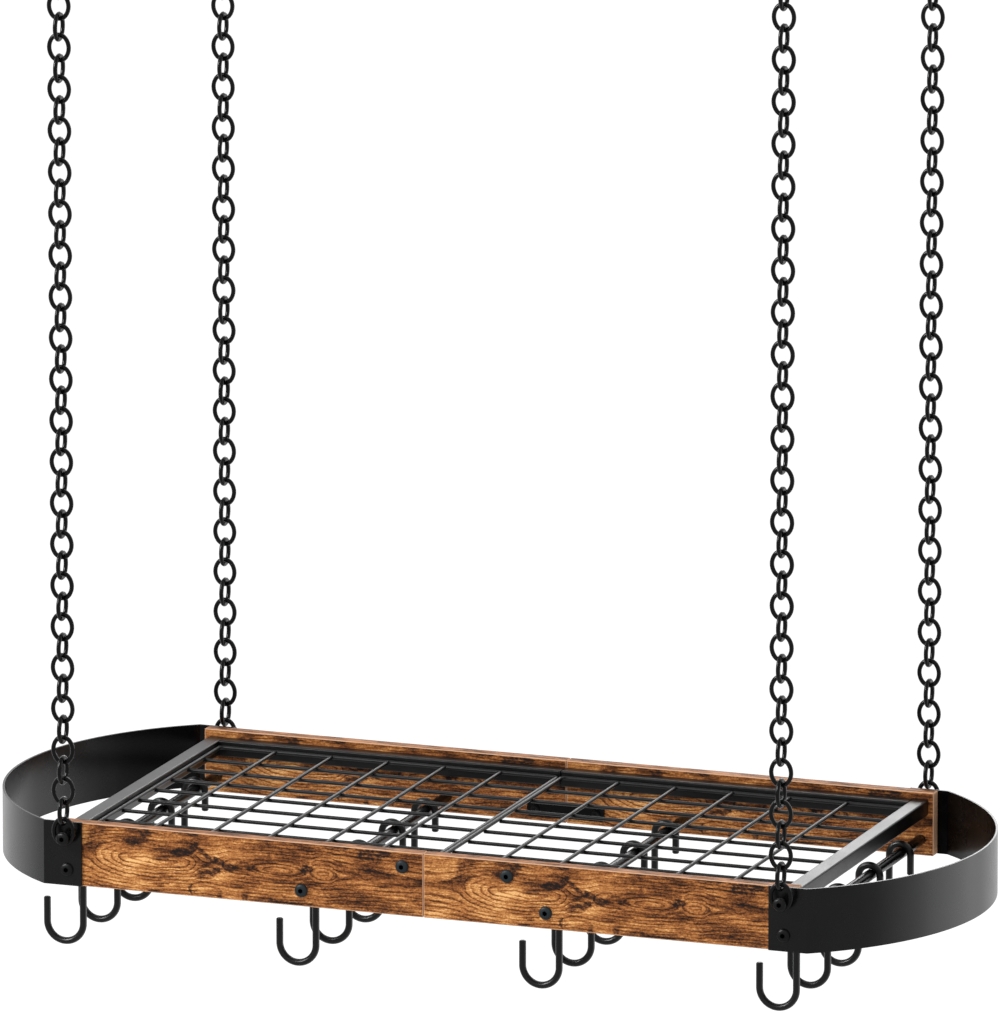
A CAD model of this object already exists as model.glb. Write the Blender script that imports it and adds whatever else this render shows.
# %% [markdown]
# # A hanging pot rack
#
# The rack is two pairs of printed wood boards joined by round steel ends, with wire shelves,
# cross bars, S-hooks and four chains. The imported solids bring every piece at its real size,
# so this lesson is about finish: how printed wood, powder-coated steel and blackened wire look,
# and which small details are worth modelling over the solids.

# %% Load the frame
import math
import bmesh
import bpy
from mathutils import Matrix, Vector


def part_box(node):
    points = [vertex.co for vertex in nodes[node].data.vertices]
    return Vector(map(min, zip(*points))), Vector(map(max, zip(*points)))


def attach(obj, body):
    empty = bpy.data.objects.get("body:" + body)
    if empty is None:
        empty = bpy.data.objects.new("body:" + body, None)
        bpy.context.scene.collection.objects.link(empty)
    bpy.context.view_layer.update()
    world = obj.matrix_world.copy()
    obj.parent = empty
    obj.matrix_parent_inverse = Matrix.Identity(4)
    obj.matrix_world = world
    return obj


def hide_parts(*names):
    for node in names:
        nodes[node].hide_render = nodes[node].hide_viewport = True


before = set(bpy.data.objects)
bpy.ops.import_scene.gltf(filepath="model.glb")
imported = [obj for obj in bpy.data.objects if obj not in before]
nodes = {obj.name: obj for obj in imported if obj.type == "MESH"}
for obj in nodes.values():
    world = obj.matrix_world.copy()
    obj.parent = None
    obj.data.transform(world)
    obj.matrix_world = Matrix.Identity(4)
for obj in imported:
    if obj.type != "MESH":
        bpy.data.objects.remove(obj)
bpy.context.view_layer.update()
scene = bpy.context.scene
scene.view_settings.view_transform = "Standard"

# %% [markdown]
# ## Sizes read from the frame
#
# Nothing is measured twice. The boards' box gives the height of the tray, the joint between
# the boards and the faces that the print has to cover, so a rack of another size would still fit.

# %% Sizes
board_low, board_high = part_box("front_left_board")
board_length = board_high.x - board_low.x
board_height = board_high.z - board_low.z
board_middle_z = (board_low.z + board_high.z) / 2
rack_middle = Vector((0, 0, board_low.z))
print("one board: %.0f x %.0f mm" % (board_length * 1000, board_height * 1000))

# %% [markdown]
# ## The camera
#
# The photograph was taken from far away with a long lens, a little from the right and above.
# A long lens keeps the chains almost parallel. The camera stands on the line of sight through
# the middle of the rack, then turns a little up, because the rack is low in the picture.

# %% Camera
PICTURE = (1000, 1013)
SENSOR = 36.0
AZIMUTH = math.radians(20.42)
ELEVATION = math.radians(14.216)
FOCAL_PIXELS = 17470.0
CAMERA_DISTANCE = 16.042
CAMERA_REACH = 200
RACK_MIDDLE_PIXEL = (497.82, 868.50)

camera_back = Vector((math.sin(AZIMUTH) * math.cos(ELEVATION),
                      -math.cos(AZIMUTH) * math.cos(ELEVATION), math.sin(ELEVATION)))
camera_right = Vector((math.cos(AZIMUTH), math.sin(AZIMUTH), 0))
camera_up = camera_back.cross(camera_right)
aim = (camera_right * (PICTURE[0] / 2 - RACK_MIDDLE_PIXEL[0]) / FOCAL_PIXELS
       + camera_up * (RACK_MIDDLE_PIXEL[1] - PICTURE[1] / 2) / FOCAL_PIXELS - camera_back)

camera = bpy.data.objects.new("camera", bpy.data.cameras.new("camera"))
scene.collection.objects.link(camera)
camera.data.sensor_width = SENSOR
camera.data.lens = SENSOR * FOCAL_PIXELS / max(PICTURE)
camera.data.clip_end = CAMERA_REACH
camera.location = rack_middle + camera_back * CAMERA_DISTANCE
camera.rotation_mode = "QUATERNION"
camera.rotation_quaternion = aim.to_track_quat("-Z", "Y")
scene.camera = camera
print("lens: %.0f mm" % camera.data.lens)

# %% [markdown]
# ## Small helpers for shader nodes
#
# A material is a graph. These short helpers add one node each and return its output, so that
# a pattern reads like a formula: `calc` does sums on numbers, `vcalc` on places, `noise` gives
# soft random spots, `remap` turns a range into a mask, and `blend` mixes two colours.

# %% Helpers that add one node
def feed(tree, socket, value):
    """Link a socket to another node's output, or set it to a plain value."""
    if isinstance(value, bpy.types.NodeSocket):
        tree.links.new(value, socket)
    else:
        socket.default_value = value


def calc(tree, operation, *values):
    node = tree.nodes.new("ShaderNodeMath")
    node.operation = operation
    for socket, value in zip(node.inputs, values):
        feed(tree, socket, value)
    return node.outputs[0]


def vcalc(tree, operation, *values):
    node = tree.nodes.new("ShaderNodeVectorMath")
    node.operation = operation
    for socket, value in zip(node.inputs, values):
        feed(tree, socket, value)
    return node.outputs["Value" if operation in ("LENGTH", "DISTANCE", "DOT_PRODUCT") else "Vector"]


def noise(tree, place, scale=1.0, detail=3.0, roughness=0.5, distortion=0.0):
    node = tree.nodes.new("ShaderNodeTexNoise")
    feed(tree, node.inputs["Vector"], place)
    node.inputs["Scale"].default_value = scale
    node.inputs["Detail"].default_value = detail
    node.inputs["Roughness"].default_value = roughness
    node.inputs["Distortion"].default_value = distortion
    return node.outputs["Fac"]


def remap(tree, value, low, high, to_low=0.0, to_high=1.0, smooth=False):
    node = tree.nodes.new("ShaderNodeMapRange")
    node.interpolation_type = "SMOOTHSTEP" if smooth else "LINEAR"
    for name, number in (("Value", value), ("From Min", low), ("From Max", high),
                         ("To Min", to_low), ("To Max", to_high)):
        feed(tree, node.inputs[name], number)
    return node.outputs["Result"]


def blend(tree, amount, first, second, mode="MIX"):
    node = tree.nodes.new("ShaderNodeMix")
    node.data_type = "RGBA"
    node.blend_type = mode
    feed(tree, node.inputs[0], amount)
    for socket, colour in ((node.inputs[6], first), (node.inputs[7], second)):
        feed(tree, socket, colour if isinstance(colour, bpy.types.NodeSocket) else (*colour, 1.0))
    return node.outputs[2]


# %% Helpers that start a group or a material
def start_group(name, inputs, outputs):
    """A node group with sockets given as {name: (type, default)} and {name: type}."""
    group = bpy.data.node_groups.new(name, "ShaderNodeTree")
    for label, (kind, default) in inputs.items():
        socket = group.interface.new_socket(label, in_out="INPUT", socket_type=kind)
        if default is not None:
            socket.default_value = default
    for label, kind in outputs.items():
        group.interface.new_socket(label, in_out="OUTPUT", socket_type=kind)
    source = group.nodes.new("NodeGroupInput")
    sink = group.nodes.new("NodeGroupOutput")
    return group, source.outputs, sink.inputs


def start_material(name, centre=(0, 0, 0)):
    """A material with a plain Principled shader, and Object coordinates moved to a centre."""
    material = bpy.data.materials.new(name)
    material.use_nodes = True
    tree = material.node_tree
    coordinates = tree.nodes.new("ShaderNodeTexCoord")
    mapping = tree.nodes.new("ShaderNodeMapping")
    mapping.inputs["Location"].default_value = [-c for c in centre]
    tree.links.new(coordinates.outputs["Object"], mapping.inputs["Vector"])
    return material, tree, tree.nodes["Principled BSDF"], mapping.outputs["Vector"]


def place_group(tree, group, **values):
    node = tree.nodes.new("ShaderNodeGroup")
    node.node_tree = group
    for label, value in values.items():
        feed(tree, node.inputs[label], value)
    return node.outputs


# %% Relief
EDGE_SAMPLES = 4


def add_bump(tree, shader, height, strength, distance, edge=0.0):
    """Relief on the surface; an edge radius also rounds the light over sharp corners."""
    node = tree.nodes.new("ShaderNodeBump")
    node.inputs["Strength"].default_value = strength
    node.inputs["Distance"].default_value = distance
    tree.links.new(height, node.inputs["Height"])
    tree.links.new(node.outputs["Normal"], shader.inputs["Normal"])
    if edge:
        rounding = tree.nodes.new("ShaderNodeBevel")
        rounding.samples = EDGE_SAMPLES
        rounding.inputs["Radius"].default_value = edge
        tree.links.new(rounding.outputs["Normal"], node.inputs["Normal"])

# %% [markdown]
# ## Powder coat
#
# Powder coat is a baked plastic skin on the steel. It is deep black, but never flat: the powder
# melts into a fine orange peel, its gloss drifts from place to place, and a little grey dust
# lies in it. The group gives the colour, the gloss and the height of that skin, and every steel
# part uses it with its own numbers. The inside of the bands gets less powder, most of all on the
# right one, and the black iron under it shines less. So their material asks whether a face looks
# towards the middle of the rack, and turns partly to metal there.

# %% Powder coat group
COAT_BLACK = (0.0012, 0.0012, 0.0014)
COAT_DUST = (0.0030, 0.0031, 0.0036)

coat_group, given, result = start_group(
    "powder_coat",
    {"Place": ("NodeSocketVector", None), "Peel": ("NodeSocketFloat", 900.0),
     "Roughness": ("NodeSocketFloat", 0.42), "Tint": ("NodeSocketColor", None)},
    {"Colour": "NodeSocketColor", "Roughness": "NodeSocketFloat", "Height": "NodeSocketFloat"})
scaled = vcalc(coat_group, "SCALE", given["Place"])
coat_group.links.new(given["Peel"], scaled.node.inputs["Scale"])
peel = noise(coat_group, scaled, 1.0, 2.0, 0.6)
clouds = noise(coat_group, given["Place"], 16.0, 5.0, 0.6)
dust = calc(coat_group, "MULTIPLY", remap(coat_group, clouds, 0.35, 0.75),
            remap(coat_group, peel, 0.3, 0.7, 0.5, 1.0))
feed(coat_group, result["Colour"], blend(coat_group, dust, given["Tint"], COAT_DUST, "ADD"))
feed(coat_group, result["Roughness"],
     calc(coat_group, "ADD", given["Roughness"], remap(coat_group, clouds, 0.3, 0.7, -0.03, 0.04)))
feed(coat_group, result["Height"], peel)


# %% A coated steel, by its roughness, its shine, the grain of its peel and the relief of it
PEEL_DEPTH = 0.0002
EDGE_RADIUS = 0.0006
BLUED = (0.0110, 0.0170, 0.0200)
# how far out the bands are, and how bare the inside of the left and the right one is
BAND_AT = 0.4
BARE_LEFT = 0.38
BARE_RIGHT = 0.75
SIDE_BLUR = 0.02


def coat_material(name, roughness, shine, peel, bump, edge=0.0, tint=COAT_BLACK, dull_inside=False):
    material, tree, shader, place = start_material(name)
    coat = place_group(tree, coat_group, Place=place, Peel=peel, Roughness=roughness, Tint=(*tint, 1.0))
    tree.links.new(coat["Colour"], shader.inputs["Base Color"])
    tree.links.new(coat["Roughness"], shader.inputs["Roughness"])
    shader.inputs["Specular IOR Level"].default_value = shine
    if dull_inside:
        sides = tree.nodes.new("ShaderNodeTexCoord")
        outward = vcalc(tree, "DOT_PRODUCT", sides.outputs["Normal"],
                        vcalc(tree, "MULTIPLY", sides.outputs["Object"], (1.0, 1.0, 0.0)))
        split = tree.nodes.new("ShaderNodeSeparateXYZ")
        tree.links.new(sides.outputs["Object"], split.inputs[0])
        bare = remap(tree, split.outputs["X"], -BAND_AT, BAND_AT, BARE_LEFT, BARE_RIGHT)
        feed(tree, shader.inputs["Metallic"], remap(tree, outward, -SIDE_BLUR, SIDE_BLUR, bare, 0.0))
    add_bump(tree, shader, coat["Height"], bump, PEEL_DEPTH, edge)
    return material


band_coat = coat_material("band_powder_coat", 0.26, 0.50, 1100.0, 0.06, EDGE_RADIUS, dull_inside=True)
shelf_coat = coat_material("shelf_powder_coat", 0.31, 0.50, 800.0, 0.45, EDGE_RADIUS)
grid_coat = coat_material("grid_powder_coat", 0.40, 0.46, 1100.0, 0.12)
bar_coat = coat_material("bar_powder_coat", 0.26, 0.32, 1100.0, 0.10)
hook_coat = coat_material("hook_dip_coat", 0.32, 0.60, 1500.0, 0.08)
chain_coat = coat_material("chain_dip_coat", 0.20, 0.34, 1500.0, 0.10)
screw_black = coat_material("screw_black_oxide", 0.36, 0.40, 2200.0, 0.12)
screw_blued = coat_material("screw_blued", 0.42, 0.33, 2200.0, 0.12, tint=BLUED)
print("steel finishes:", coat_group.users)

# %% [markdown]
# ## Zinc on the rivet nuts
#
# The nuts hide in the tube walls. Zinc plate is bright and slightly blue, with a fine grain.

# %% Zinc
ZINC_BLUISH = (0.50, 0.51, 0.53)
ZINC_BRIGHT = (0.68, 0.68, 0.68)
zinc, tree, shader, place = start_material("rivet_nut_zinc")
grain = noise(tree, place, 2500.0, 2.0)
feed(tree, shader.inputs["Base Color"], blend(tree, grain, ZINC_BLUISH, ZINC_BRIGHT))
feed(tree, shader.inputs["Roughness"], remap(tree, grain, 0.2, 0.8, 0.28, 0.42))
shader.inputs["Metallic"].default_value = 1.0
print("zinc:", zinc.name)

# %% [markdown]
# ## The printed wood
#
# The boards wear a printed foil of rustic wood, and every board carries the same print. A flat
# board cuts the year rings of its trunk at a slant. A ring shows where the distance to the pith
# reaches the next step, so the group works out that distance: the height over the pith line and
# the depth of the pith under the face. Where the pith comes near the face, the rings close into
# long ovals, and where it dives they make arches. The depth is a curve along the board. Charred
# smudges, pale patches and the dark lines round the eyes are listed by place, and a noise frays
# their rims.

# %% Places in the print, in mm from the left end and from the middle of a board
board_length_mm = board_length * 1000
# depth of the pith under the face: along, depth
PITH_DEPTHS = [(0, 18.5), (22, 17.8), (33, 16.6), (38, 15.4), (43, 13), (51, 10.4), (58, 7.8), (64, 5.2),
               (73, 2.6), (95, 1.6), (120, 3), (136, 7.5), (149, 12), (160, 10.5), (172, 7), (188, 5.3),
               (197, 4.1), (207, 2), (217, 1), (228, 2), (238, 4.1), (244, 5.3), (249, 6.4), (256, 2.6),
               (263, 1.5), (270, 3.2), (276, 7), (300, 9), (330, 10.5), (360, 12)]
MAX_DEPTH = 20.0
PITH_UP = 2.0
RING_WIDTH = 3.1
# charred smudges: along, up, half length, half height, turn in degrees, darkness
CHARRED = [(82, 19, 13, 6, 12, 0.85), (66, 16, 14, 4, -10, 0.45), (90, 26, 9, 4, 0, 0.5),
           (125, 11, 12, 4.6, 4, 1.15), (108, 9, 16, 4.5, 0, 0.5), (102, 3, 9, 2.6, -6, 0.75),
           (118, 4, 15, 2, 0, 0.35), (137, 17, 8, 3.4, 52, 0.75), (146, 11.5, 8, 3.0, -38, 0.95),
           (155, 7.5, 9, 2.6, -26, 0.85), (163, 3.5, 7, 2.4, -38, 0.85), (171, 0, 7, 4.5, 0, 0.62),
           (149, -8, 11, 4.5, 14, 0.9), (157, -4, 9, 3, 22, 0.6), (152, 2, 15, 9, 0, 0.42),
           (42, 19, 10, 11, 0, 0.45), (30, 14, 10, 14, 0, 0.28), (37, 8, 7, 5, 0, 0.3),
           (33, -4, 9, 6, 0, 0.25), (312, 24, 15, 6, 0, 0.9), (322, 27, 10, 4, 0, 0.8),
           (301, 23, 7, 5, 0, 0.45), (318, 9, 17, 4.2, 0, 0.62), (303, 11, 8, 4, 0, 0.5),
           (246, 5, 7, 5, 0, 1.25), (193, 2, 5, 3.4, 0, 0.6), (275, 2, 4, 3, 0, 0.7), (171, -1, 5, 5, 0, 0.7),
           (135, -23, 3.4, 5, 0, 0.95), (98, -29, 6, 3.4, 0, 0.8), (163, -26, 3, 5, 0, 0.62),
           (187, -26, 4, 5, 0, 0.65), (148, -27, 11, 5, 0, 0.4), (235, -27, 28, 5, 0, 0.5),
           (270, -19, 15, 4, -8, 0.5), (292, -15, 16, 3.4, 0, 0.5), (302, -24, 24, 5, 0, 0.45),
           (338, -25, 24, 6, 0, 0.5), (205, -27, 15, 4, 0, 0.5), (130, 29, 14, 4, 0, 0.6),
           (205, 28, 9, 3, 0, 0.5), (275, 29, 16, 4, 0, 0.6), (75, 29, 20, 4, 0, 0.45),
           (115, 17, 24, 8, 0, 0.26), (12, 20, 13, 7, 0, 0.3), (225, -8, 11, 2.4, 0, 0.4),
           (280, -12, 30, 2, -3, 0.3), (106, -12, 16, 4, 0, 0.26)]
# pale patches: along, up, half length, half height, turn in degrees, lightness
PALE = [(263, 2, 13, 5.5, 0, 1.0), (218, 2, 20, 4.2, 0, 0.5), (112, -5, 25, 5.5, 0, 0.62),
        (80, -2, 15, 5, 0, 0.42), (53, 3, 10, 7, 0, 0.55), (85, -24, 13, 8, 0, 0.55),
        (173, -23, 11, 8, 0, 0.55), (20, -22, 18, 10, 0, 0.42), (203, -15, 8, 4, 0, 0.6),
        (165, -13, 16, 2.6, -6, 0.5), (341, 5, 12, 5, 0, 0.45), (27, 22, 8, 7, 0, 0.3),
        (190, 14, 30, 6, 0, 0.25), (315, -5, 34, 5, 0, 0.25), (242, 13, 0.9, 8, 0, 0.7),
        (251, 14, 1.0, 9, 3, 0.7), (237, -4, 0.9, 5, 8, 0.7), (72, 10, 6, 5, 0, 0.4)]
# dark lines that close round an eye: along, up, half length, half height, turn in degrees, darkness
EYES = [(218, 2.5, 24, 5.4, 0, 1.0), (216, 2, 38, 9.5, 0, 0.6), (263, 2, 13, 5.4, -4, 0.7),
        (135, -23, 2.6, 4.2, 0, 0.7)]

# %% Colours of the print, from char to pale sapwood
PRINT_RAMP = [(0.00, (0.0105, 0.0062, 0.0038)), (0.20, (0.054, 0.0190, 0.0072)),
              (0.40, (0.158, 0.052, 0.0150)), (0.60, (0.330, 0.120, 0.034)),
              (0.80, (0.530, 0.235, 0.072)), (1.00, (0.780, 0.450, 0.180))]
CHARCOAL = (0.0110, 0.0100, 0.0105)
WORN_EDGE = (0.60, 0.36, 0.225)
STRIP_LIGHT = (0.420, 0.190, 0.088)
STRIP_DARK = (0.036, 0.014, 0.007)

# %% Wood print group: the place on the board and the marks
# the foil, in mm; it is cut a hair longer than the board
FOIL_HALF_HEIGHT = 30.0
FOIL_LENGTH = 360.0
foil, given, result = start_group(
    "rustic_print",
    {"Place": ("NodeSocketVector", None), "Half Height": ("NodeSocketFloat", FOIL_HALF_HEIGHT),
     "Length": ("NodeSocketFloat", FOIL_LENGTH)},
    {"Colour": "NodeSocketColor", "Roughness": "NodeSocketFloat", "Height": "NodeSocketFloat"})
# every noise is cut at this depth, because a cut at a whole number shows its lattice
NOISE_SLICE = 0.37
in_mm = vcalc(foil, "MULTIPLY", given["Place"], (1000.0, 1000.0, 1000.0))
split = foil.nodes.new("ShaderNodeSeparateXYZ")
foil.links.new(in_mm, split.inputs[0])
along, up = split.outputs["X"], split.outputs["Z"]


def plane(x, y, z=0.0):
    node = foil.nodes.new("ShaderNodeCombineXYZ")
    for socket, value in zip(node.inputs, (x, y, z)):
        feed(foil, socket, value)
    return node.outputs[0]


def stretched(factor_x, factor_y):
    return vcalc(foil, "MULTIPLY", flat, (factor_x, factor_y, NOISE_SLICE))


def centred(value, gain):
    """Noise about its middle, with a gain."""
    return calc(foil, "MULTIPLY_ADD", value, gain, -0.5 * gain)


flat = plane(along, up, 1.0)
fray_place = stretched(0.060, 0.10)
frayed = vcalc(foil, "ADD", flat, plane(
    centred(noise(foil, fray_place, 1.0, 4.0, 0.62), 20.0),
    centred(noise(foil, vcalc(foil, "ADD", fray_place, (31.0, 17.0, 5.4)), 1.0, 4.0, 0.62), 9.0)))
wavering = vcalc(foil, "ADD", flat, plane(0.0, centred(noise(foil, stretched(0.05, 0.09), 1.0, 3.0), 3.0)))


def oval(mark, place):
    """The squared distance from the middle of a turned oval, 1 on its rim."""
    x, y, half_length, half_height, turn = mark[:5]
    cos, sin = math.cos(math.radians(turn)), math.sin(math.radians(turn))
    length = vcalc(foil, "DOT_PRODUCT", place, [v / half_length for v in (cos, sin, -cos * x - sin * y)])
    height = vcalc(foil, "DOT_PRODUCT", place, [v / half_height for v in (-sin, cos, sin * x - cos * y)])
    return calc(foil, "MULTIPLY_ADD", length, length, calc(foil, "MULTIPLY", height, height))


def smudge(mark):
    """A soft spot: its strength in the middle, 0 past its rim."""
    return remap(foil, oval(mark, frayed), 1.7, 0.0, 0.0, mark[5], smooth=True)


def eye_line(mark):
    """A thin line round an oval, as late wood closes round a knot."""
    far = oval(mark, wavering)
    return calc(foil, "MULTIPLY", remap(foil, far, 0.60, 0.95, 0.0, mark[5]),
                remap(foil, far, 1.0, 1.25, 1.0, 0.0))


def add_up(draw, marks):
    total = draw(marks[0])
    for mark in marks[1:]:
        total = calc(foil, "ADD", total, draw(mark))
    return total


# %% Wood print group: the year rings
depth_curve = foil.nodes.new("ShaderNodeFloatCurve")
feed(foil, depth_curve.inputs["Value"], calc(foil, "MULTIPLY", along, 1 / board_length_mm))
points = depth_curve.mapping.curves[0].points
points[0].location = (0.0, PITH_DEPTHS[0][1] / MAX_DEPTH)
points[1].location = (1.0, PITH_DEPTHS[-1][1] / MAX_DEPTH)
for x, deep in PITH_DEPTHS[1:-1]:
    points.new(x / board_length_mm, deep / MAX_DEPTH)
depth_curve.mapping.update()
depth = calc(foil, "MULTIPLY", depth_curve.outputs[0], MAX_DEPTH)
wave = calc(foil, "MULTIPLY", centred(noise(foil, stretched(0.016, 0.020), 1.0, 2.0), 10.0),
            remap(foil, along, 150.0, 185.0, 1.0, 0.35))
over_pith = calc(foil, "ADD", calc(foil, "SUBTRACT", up, PITH_UP), wave)
squared = calc(foil, "MULTIPLY_ADD", depth, depth, calc(foil, "MULTIPLY", over_pith, over_pith))
distance = calc(foil, "SQRT", squared)
ripple = centred(noise(foil, stretched(0.045, 0.14), 1.0, 5.0, 0.6), 1.2)
rings = calc(foil, "MULTIPLY_ADD", distance, 1 / RING_WIDTH, ripple)
phase = calc(foil, "FRACT", rings)
late_wood = calc(foil, "MULTIPLY", remap(foil, phase, 0.45, 0.90, smooth=True),
                 remap(foil, phase, 0.90, 1.0, 1.0, 0.0))
ring_fade = remap(foil, noise(foil, stretched(0.022, 0.10), 1.0, 2.0), 0.38, 0.62, 0.10, 1.0)
ring_fade = calc(foil, "MAXIMUM", ring_fade, remap(foil, along, 165.0, 190.0, 0.0, 0.62))
ring_lines = calc(foil, "MAXIMUM", calc(foil, "MULTIPLY", late_wood, ring_fade), add_up(eye_line, EYES))

# %% Wood print group: the layers of the grain, and the char over them
clouds = noise(foil, stretched(0.020, 0.060), 1.0, 4.0, 0.62)
ring_place = plane(calc(foil, "MULTIPLY", rings, 0.8), calc(foil, "MULTIPLY", along, 0.012), NOISE_SLICE)
ring_tone = noise(foil, ring_place, 1.0, 3.0, 0.6)
streaks = noise(foil, stretched(0.036, 0.62), 1.0, 4.0, 0.68)
fibres = noise(foil, vcalc(foil, "ADD", stretched(0.16, 1.7), (3.0, 8.0, 1.3)), 1.0, 3.0, 0.7)
pepper = noise(foil, stretched(0.50, 0.75), 1.0, 4.0, 0.80)
crumble = noise(foil, vcalc(foil, "ADD", stretched(0.30, 0.46), (7.0, 3.0, 9.4)), 1.0, 6.0, 0.80)
edge_gap = calc(foil, "SUBTRACT", given["Half Height"], calc(foil, "ABSOLUTE", up))
char = calc(foil, "ADD", add_up(smudge, CHARRED), remap(foil, edge_gap, 0.0, 6.0, 0.30, 0.0))
char = calc(foil, "MINIMUM", char, 1.2)
soot = calc(foil, "MULTIPLY", char, remap(foil, crumble, 0.34, 0.64, 0.30, 1.25))
soot = remap(foil, soot, 0.05, 1.30, smooth=True)
pale = add_up(smudge, PALE)
specks = calc(foil, "MULTIPLY", remap(foil, crumble, 0.60, 0.70), remap(foil, pepper, 0.42, 0.58))

# %% Wood print group: tone, the sum of the layers
MIDDLE_TONE = 0.590
tone = calc(foil, "ADD", centred(clouds, 1.5), MIDDLE_TONE)
for layer, gain in ((ring_tone, 0.50), (streaks, 0.85), (fibres, 0.80), (pepper, 1.25)):
    tone = calc(foil, "ADD", tone, centred(layer, gain))
for layer, effect in ((pale, 0.20), (ring_lines, -0.41), (soot, -0.46), (specks, -0.25)):
    tone = calc(foil, "MULTIPLY_ADD", layer, effect, tone)

# %% Wood print group: colour, worn bevel and edging strip
ramp = foil.nodes.new("ShaderNodeValToRGB")
foil.links.new(tone, ramp.inputs["Fac"])
stops = ramp.color_ramp.elements
while len(stops) > 1:
    stops.remove(stops[-1])
stops[0].position = PRINT_RAMP[0][0]
stops[0].color = (*PRINT_RAMP[0][1], 1.0)
for position, colour in PRINT_RAMP[1:]:
    stops.new(position).color = (*colour, 1.0)
colour = ramp.outputs["Color"]
colour = blend(foil, calc(foil, "MULTIPLY", soot, 0.62), colour, CHARCOAL)

end_gap = calc(foil, "MINIMUM", along, calc(foil, "SUBTRACT", given["Length"], along))
rim_gap = calc(foil, "MINIMUM", edge_gap, end_gap)
worn = remap(foil, calc(foil, "ADD", rim_gap, centred(crumble, 0.7)), 0.75, 1.05, 0.85, 0.0)
colour = blend(foil, worn, colour, WORN_EDGE)
strip_streaks = noise(foil, vcalc(foil, "MULTIPLY", in_mm, (0.050, 0.55, 0.55)), 1.0, 5.0, 0.70)
strip = blend(foil, remap(foil, strip_streaks, 0.42, 0.58), STRIP_LIGHT, STRIP_DARK)
on_strip = remap(foil, rim_gap, 0.05, 0.12, 1.0, 0.0)
colour = blend(foil, on_strip, colour, strip)
feed(foil, result["Colour"], colour)
feed(foil, result["Roughness"], remap(foil, tone, 0.1, 0.9, 0.62, 0.46))
feed(foil, result["Height"], calc(foil, "MULTIPLY_ADD", fibres, 0.6, calc(foil, "MULTIPLY", pepper, 0.4)))
print("print group nodes:", len(foil.nodes))

# %% Board materials, one for each half so that every print starts at the left end of its board
FOIL_SHINE = 0.13
FOIL_RELIEF = 0.5
FOIL_GRAIN_DEPTH = 0.0003


def board_material(name, left_end):
    material, tree, shader, place = start_material(name, (left_end, 0, board_middle_z))
    wood = place_group(tree, foil, Place=place)
    tree.links.new(wood["Colour"], shader.inputs["Base Color"])
    tree.links.new(wood["Roughness"], shader.inputs["Roughness"])
    shader.inputs["Specular IOR Level"].default_value = FOIL_SHINE
    add_bump(tree, shader, wood["Height"], FOIL_RELIEF, FOIL_GRAIN_DEPTH)
    return material


left_wood = board_material("rustic_board_left", board_low.x)
right_wood = board_material("rustic_board_right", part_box("front_right_board")[0].x)
print("board prints:", left_wood.name, right_wood.name)

# %% Give every node its finish
def finish_for(name):
    if "board" in name:
        return left_wood if "left" in name else right_wood
    for key, material in (("band", band_coat), ("splice_plate", band_coat), ("panel", shelf_coat),
                          ("grid", grid_coat), ("screws", screw_black), ("nuts", zinc),
                          ("hook", hook_coat), ("bar", bar_coat), ("link", chain_coat),
                          ("chain", chain_coat)):
        if key in name:
            return material
    raise KeyError(name)


for name, node in nodes.items():
    node.data.materials.clear()
    node.data.materials.append(finish_for(name))
print("finishes set on", len(nodes), "nodes")

# %% [markdown]
# ## New pieces
#
# A new piece is modelled as a bmesh with its place in its mesh, smoothed where it is round, and
# tied to the body that carries it.

# %% Making a piece from a bmesh
SHARP_ANGLE = math.radians(38)


def keep_piece(bm, name, materials, body):
    """Turn a bmesh into a smooth piece with sharp corners that rides on a body."""
    bmesh.ops.recalc_face_normals(bm, faces=bm.faces)
    mesh = bpy.data.meshes.new(name)
    bm.to_mesh(mesh)
    bm.free()
    for face in mesh.polygons:
        face.use_smooth = True
    mesh.set_sharp_from_angle(angle=SHARP_ANGLE)
    piece = bpy.data.objects.new(name, mesh)
    scene.collection.objects.link(piece)
    for material in materials:
        piece.data.materials.append(material)
    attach(piece, body)
    return piece


def add_copy(bm, mesh, matrix):
    """Add a copy of a mesh to a bmesh, moved and turned by a matrix."""
    start = len(bm.verts)
    bm.from_mesh(mesh)
    bm.verts.ensure_lookup_table()
    bmesh.ops.transform(bm, matrix=matrix, verts=bm.verts[start:])


# %% [markdown]
# ## Oval chain links
#
# The links of this chain are rounder than the solids' straight-sided ones: each is an oval of
# four arcs, two wide ones for the sides and two tight ones for the ends. A ring of wire is spun
# round the four centres in turn, which lie on a 3-4-5 triangle, until it meets its start. The
# oval keeps the length and wire of the solid link, so every link seats as before, and is a
# little wider, as round links are.

# %% One oval link about the origin, in the XZ plane
LINK_ROUNDER = 0.0008
WIRE_SIDES = 12
SIDE_STEPS = 8
END_STEPS = 10
ACROSS_SHARE = 0.8
UP_SHARE = 0.6
link_low, link_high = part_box("front_left_low_link")
link_width, link_wire, link_height = link_high - link_low
link_width += LINK_ROUNDER
link_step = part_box("front_left_chain")[0].z + link_height / 2 - (link_low.z + link_high.z) / 2
centre_apart = (link_height - link_width) / (2 * (ACROSS_SHARE + UP_SHARE - 1))
side_centre = ACROSS_SHARE * centre_apart
end_centre = UP_SHARE * centre_apart
side_turn = math.acos(ACROSS_SHARE)
end_turn = math.pi - 2 * side_turn

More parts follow.
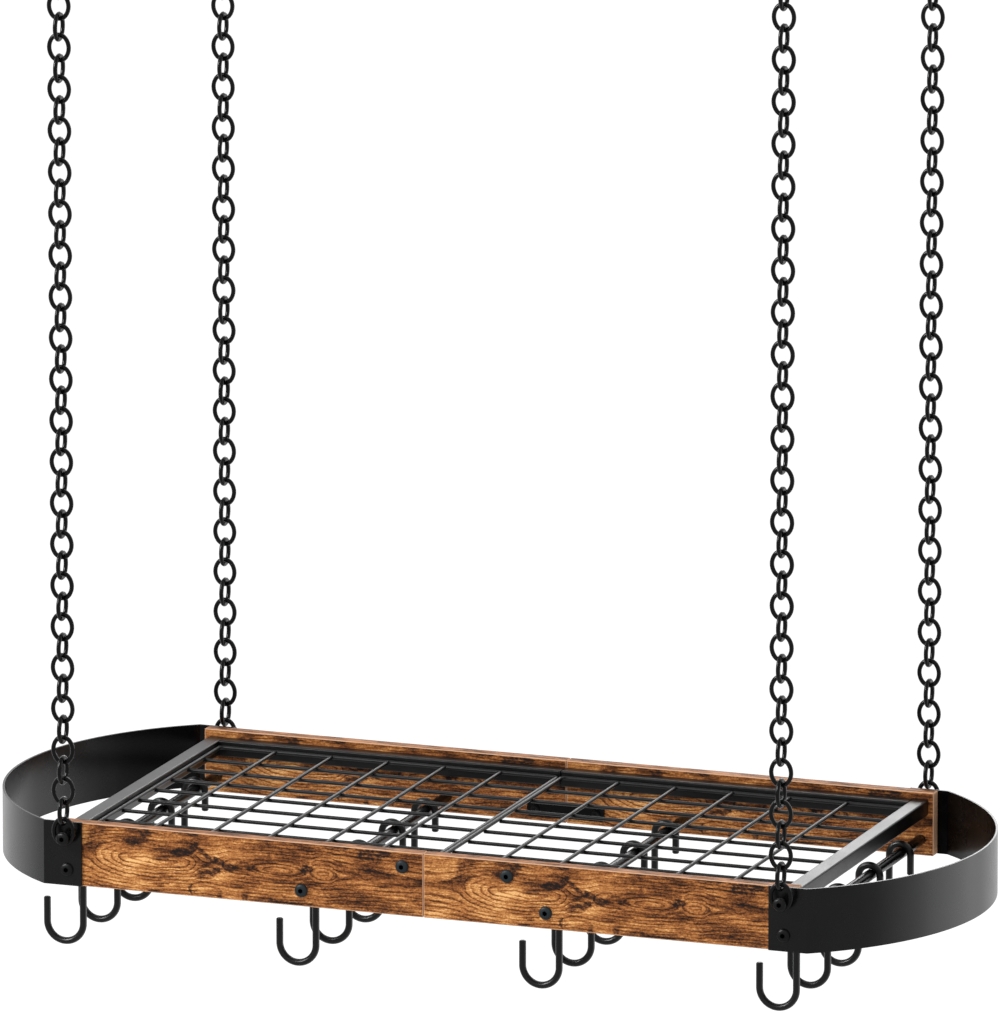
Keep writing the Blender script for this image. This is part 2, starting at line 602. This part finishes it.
link_bm = bmesh.new()
bmesh.ops.create_circle(link_bm, segments=WIRE_SIDES, radius=link_wire / 2)
bmesh.ops.translate(link_bm, verts=link_bm.verts, vec=((link_width - link_wire) / 2, 0, 0))
moving = link_bm.verts[:] + link_bm.edges[:]
for centre, turn, steps in (((-side_centre, 0, 0), side_turn, SIDE_STEPS // 2),
                            ((0, 0, end_centre), end_turn, END_STEPS),
                            ((side_centre, 0, 0), 2 * side_turn, SIDE_STEPS),
                            ((0, 0, -end_centre), end_turn, END_STEPS),
                            ((-side_centre, 0, 0), side_turn, SIDE_STEPS // 2)):
    moving = bmesh.ops.spin(link_bm, geom=moving, cent=centre, axis=(0, -1, 0), angle=turn,
                            steps=steps)["geom_last"]
bmesh.ops.remove_doubles(link_bm, verts=link_bm.verts, dist=1e-5)
link_mesh = bpy.data.meshes.new("oval_link")
link_bm.to_mesh(link_mesh)
link_bm.free()
print("oval link: %.1f x %.1f mm" % (link_width * 1000, link_height * 1000))
print("faces of a link:", len(link_mesh.polygons))


# %% The chains, link by link where the solids have theirs
def chain_piece(node, first_turned):
    low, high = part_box(node)
    count = round((high.z - low.z - link_height) / link_step) + 1
    bm = bmesh.new()
    for i in range(count):
        turn = math.pi / 2 if (i % 2 == 0) == first_turned else 0.0
        spot = ((low.x + high.x) / 2, (low.y + high.y) / 2, low.z + link_height / 2 + i * link_step)
        add_copy(bm, link_mesh, Matrix.Translation(spot) @ Matrix.Rotation(turn, 4, "Z"))
    piece = keep_piece(bm, "oval_" + node, [chain_coat], node)
    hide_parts(node)
    return count


for end in ("front", "rear"):
    for side in ("left", "right"):
        counts = [chain_piece("%s_%s_%s" % (end, side, part), part == "chain")
                  for part in ("low_link", "chain", "top_link")]
print("links in a chain:", sum(counts))

# %% [markdown]
# ## Button-head screws
#
# The screws that hold the rack together have low button heads: a short upright rim, a round
# shoulder and a nearly flat top with a hexagon socket. Every screw is a stack of rings. The first
# ring is the tip, and each next one is extruded from the last and scaled to its own radius. The
# hexagon is bridged to the top ring and pushed down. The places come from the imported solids, one
# island of the mesh for each screw. Screws in the wood are blued, those on the bands are black.

# %% Solids of a node
def solids_of(name):
    """The bounds of each separate solid in a node's mesh."""
    bm = bmesh.new()
    bm.from_mesh(nodes[name].data)
    bmesh.ops.remove_doubles(bm, verts=bm.verts, dist=1e-6)
    unseen, found = set(bm.verts), []
    for first in bm.verts:
        if first not in unseen:
            continue
        unseen.remove(first)
        queue, spots = [first], []
        while queue:
            vert = queue.pop()
            spots.append(vert.co.copy())
            for edge in vert.link_edges:
                other = edge.other_vert(vert)
                if other in unseen:
                    unseen.remove(other)
                    queue.append(other)
        found.append((Vector(map(min, zip(*spots))), Vector(map(max, zip(*spots)))))
    bm.free()
    return found


# %% One screw along Z, with the underside of its head at the origin
SCREW_SIDES = 36
SHANK_RADIUS = 0.003
HEAD_HEIGHT = 0.0033
SOCKET_RADIUS = 0.0024
SOCKET_DEPTH = 0.0021
SOCKET_MARGIN = 1.15
TIP_TAPER = 0.75
TIP_HEIGHT = 0.0008
# the head from its rim to its top: share of the head's radius, height over its underside
HEAD_PROFILE = [(1.0, 0), (1.0, 0.0012), (0.96, 0.0019), (0.87, 0.0025), (0.74, 0.0029)]


def screw_mesh(head_radius, shank_length):
    bm = bmesh.new()
    rings = [(SHANK_RADIUS, TIP_HEIGHT - shank_length), (SHANK_RADIUS, 0)]
    rings += [(head_radius * share, height) for share, height in HEAD_PROFILE]
    rings += [(SOCKET_RADIUS * SOCKET_MARGIN, HEAD_HEIGHT)]
    radius, height = SHANK_RADIUS * TIP_TAPER, -shank_length
    ring = bmesh.ops.create_circle(bm, segments=SCREW_SIDES, radius=radius, cap_ends=True)["verts"]
    bmesh.ops.translate(bm, verts=ring, vec=(0, 0, height))
    edges = bm.edges[:]
    for next_radius, next_height in rings:
        made = bmesh.ops.extrude_edge_only(bm, edges=edges)["geom"]
        ring = [item for item in made if isinstance(item, bmesh.types.BMVert)]
        edges = [item for item in made if isinstance(item, bmesh.types.BMEdge)]
        grow = next_radius / radius
        bmesh.ops.scale(bm, verts=ring, vec=(grow, grow, 1))
        bmesh.ops.translate(bm, verts=ring, vec=(0, 0, next_height - height))
        radius, height = next_radius, next_height
    socket = bmesh.ops.create_circle(bm, segments=6, radius=SOCKET_RADIUS)["verts"]
    bmesh.ops.translate(bm, verts=socket, vec=(0, 0, HEAD_HEIGHT))
    rim = [edge for edge in bm.edges if edge.verts[0] in socket]
    bmesh.ops.bridge_loops(bm, edges=edges + rim)
    made = bmesh.ops.extrude_edge_only(bm, edges=rim)["geom"]
    bmesh.ops.translate(bm, verts=[item for item in made if isinstance(item, bmesh.types.BMVert)],
                        vec=(0, 0, -SOCKET_DEPTH))
    bmesh.ops.edgeloop_fill(bm, edges=[item for item in made if isinstance(item, bmesh.types.BMEdge)])
    mesh = bpy.data.meshes.new("screw")
    bm.to_mesh(mesh)
    bm.free()
    return mesh


# %% All the button-head screws
wood_reach = -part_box("left_end_band")[1].x
screw_count = 0
for node in ("chain_screws", "bar_screws", "shelf_screws"):
    bm = bmesh.new()
    for low, high in solids_of(node):
        at_front = low.y + high.y < 0
        mesh = screw_mesh((high.x - low.x) / 2, high.y - low.y - HEAD_HEIGHT)
        seat = low.y + HEAD_HEIGHT if at_front else high.y - HEAD_HEIGHT
        middle = Vector(((low.x + high.x) / 2, seat, (low.z + high.z) / 2))
        start = len(bm.faces)
        add_copy(bm, mesh, Matrix.Translation(middle)
                 @ Matrix.Rotation(math.pi / 2 if at_front else -math.pi / 2, 4, "X"))
        bm.faces.ensure_lookup_table()
        for face in bm.faces[start:]:
            face.material_index = 1 if abs(middle.x) < wood_reach else 0
        screw_count += 1
    piece = keep_piece(bm, "button_" + node, [screw_black, screw_blued], "rack")
    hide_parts(node)
print("button-head screws:", screw_count)

# %% [markdown]
# ## Thread of the ceiling screws
#
# Above each collar the shank is a wood screw. Its thread is one three-sided ridge spun up the
# shank with a rise at every step, and it sinks a little into the shank so that no gap shows.

# %% Threads
THREAD_PITCH = 0.0026
THREAD_TURNS = 8
THREAD_START = 0.0035
STEPS_PER_TURN = 20
RIDGE_RADIUS = THREAD_PITCH * 0.42
CEILING_SHANK_RADIUS = 0.0025
SHANK_FROM_OUTSIDE = 0.011
for end in ("front", "rear"):
    for side in ("left", "right"):
        low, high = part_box("%s_%s_ceiling_hook" % (end, side))
        axis_x = (low.x + high.x) / 2
        axis_y = low.y + SHANK_FROM_OUTSIDE if end == "front" else high.y - SHANK_FROM_OUTSIDE
        bm = bmesh.new()
        bmesh.ops.create_circle(bm, segments=3, radius=RIDGE_RADIUS, cap_ends=True)
        bmesh.ops.rotate(bm, verts=bm.verts, cent=(0, 0, 0), matrix=Matrix.Rotation(math.pi / 2, 3, "X"))
        bmesh.ops.translate(bm, verts=bm.verts, vec=(axis_x + CEILING_SHANK_RADIUS, axis_y, THREAD_START))
        bmesh.ops.spin(bm, geom=bm.verts[:] + bm.edges[:] + bm.faces[:], cent=(axis_x, axis_y, 0),
                       axis=(0, 0, 1), dvec=(0, 0, THREAD_PITCH / STEPS_PER_TURN),
                       angle=THREAD_TURNS * 2 * math.pi, steps=THREAD_TURNS * STEPS_PER_TURN)
        piece = keep_piece(bm, "%s_%s_screw_thread" % (end, side), [hook_coat], "ceiling_hooks")
        print(piece.name, "faces:", len(piece.data.polygons))

# %% [markdown]
# ## Floor, light and background
#
# The rack hangs in front of white. The floor lies a room's height under the ceiling. For the
# camera it is nearly white by itself, and it still takes a soft shadow. What black steel shows
# is its surroundings, so the studio is white behind the rack and dim on the camera's side, for
# reflections only. From below the floor is see-through, so the rack can be seen from under it.

# %% Floor
FLOOR_Z = -2.4
FLOOR_SIZE = 160
bpy.ops.mesh.primitive_plane_add(size=FLOOR_SIZE, location=(0, 0, 0))
floor = bpy.context.object
floor.data.transform(Matrix.Translation((0, 0, FLOOR_Z)))
floor.name = "floor"
print("floor at", FLOOR_Z)

# %% What a mirrored ray is
def mirrored_rays(tree):
    """Light Path's outputs, and 1 for a ray that a shiny or clear surface sent on."""
    rays = tree.nodes.new("ShaderNodeLightPath").outputs
    return rays, calc(tree, "MAXIMUM", rays["Is Glossy Ray"], rays["Is Transmission Ray"])


# %% Floor material
FRONT_DIM = 0.33
GLOW_SEEN = 0.85
FLOOR_GREY = (0.75, 0.75, 0.75, 1)
SHADOW_GREY = (0.4, 0.4, 0.4)
BACKDROP_FROM, BACKDROP_TO = -1.5, 2.0
material = bpy.data.materials.new("pale_floor")
material.use_nodes = True
tree = material.node_tree
tree.nodes.clear()
output = tree.nodes.new("ShaderNodeOutputMaterial")
diffuse = tree.nodes.new("ShaderNodeBsdfDiffuse")
diffuse.inputs["Color"].default_value = FLOOR_GREY
soft = tree.nodes.new("ShaderNodeBsdfDiffuse")
glow = tree.nodes.new("ShaderNodeEmission")
lit = tree.nodes.new("ShaderNodeAddShader")
rays, mirrored = mirrored_rays(tree)
seen = calc(tree, "MAXIMUM", rays["Is Camera Ray"], mirrored)
coordinates = tree.nodes.new("ShaderNodeTexCoord")
split = tree.nodes.new("ShaderNodeSeparateXYZ")
tree.links.new(coordinates.outputs["Object"], split.inputs[0])
backdrop = remap(tree, split.outputs["Y"], BACKDROP_FROM, BACKDROP_TO, FRONT_DIM, 1.0, smooth=True)
feed(tree, glow.inputs["Strength"], remap(tree, mirrored, 0.0, 1.0, GLOW_SEEN, backdrop))
feed(tree, soft.inputs["Color"], blend(tree, mirrored, SHADOW_GREY, (0.0, 0.0, 0.0)))
pick = tree.nodes.new("ShaderNodeMixShader")
side = tree.nodes.new("ShaderNodeMixShader")
clear = tree.nodes.new("ShaderNodeBsdfTransparent")
geometry = tree.nodes.new("ShaderNodeNewGeometry")
tree.links.new(soft.outputs[0], lit.inputs[0])
tree.links.new(glow.outputs[0], lit.inputs[1])
tree.links.new(seen, pick.inputs[0])
tree.links.new(diffuse.outputs[0], pick.inputs[1])
tree.links.new(lit.outputs[0], pick.inputs[2])
tree.links.new(geometry.outputs["Backfacing"], side.inputs[0])
tree.links.new(pick.outputs[0], side.inputs[1])
tree.links.new(clear.outputs[0], side.inputs[2])
tree.links.new(side.outputs[0], output.inputs["Surface"])
floor.data.materials.append(material)
print("floor glow for the camera:", GLOW_SEEN)

# %% World
AMBIENT = 0.50
STUDIO_FROM, STUDIO_TO = -0.1, 0.5
world = bpy.data.worlds.new("studio")
scene.world = world
world.use_nodes = True
tree = world.node_tree
background = tree.nodes["Background"]
rays, mirrored = mirrored_rays(tree)
direction = tree.nodes.new("ShaderNodeTexCoord")
split = tree.nodes.new("ShaderNodeSeparateXYZ")
tree.links.new(direction.outputs["Generated"], split.inputs[0])
studio = remap(tree, split.outputs["Y"], STUDIO_FROM, STUDIO_TO, FRONT_DIM, 1.0, smooth=True)
strength = remap(tree, mirrored, 0.0, 1.0, AMBIENT, studio)
strength = remap(tree, rays["Is Camera Ray"], 0.0, 1.0, strength, 1.0)
background.inputs["Color"].default_value = (1, 1, 1, 1)
feed(tree, background.inputs["Strength"], strength)
print("ambient light:", AMBIENT)

# %% Lamps
LAMPS_AIM = Vector((0, 0, -0.9))


def soft_lamp(name, place, size, power, in_mirrors=True):
    lamp = bpy.data.objects.new(name, bpy.data.lights.new(name, "AREA"))
    scene.collection.objects.link(lamp)
    lamp.data.shape = "DISK"
    lamp.data.size = size
    lamp.data.energy = power
    lamp.location = place
    lamp.rotation_mode = "QUATERNION"
    lamp.rotation_quaternion = (LAMPS_AIM - Vector(place)).to_track_quat("-Z", "Y")
    lamp.visible_glossy = in_mirrors
    return lamp


soft_lamp("key_left", (-2.6, -2.6, 1.2), 1.6, 112)
soft_lamp("top", (0.3, 0.8, 2.2), 3.0, 75, in_mirrors=False)
soft_lamp("front_fill", (1.2, -4.5, 0.6), 2.5, 78, in_mirrors=False)
soft_lamp("right_softbox", (2.5, 1.8, -1.55), 2.0, 5)
soft_lamp("top_rim", (-0.5, 3.2, 0.4), 1.2, 14)
print("lamps:", len(bpy.data.lights))
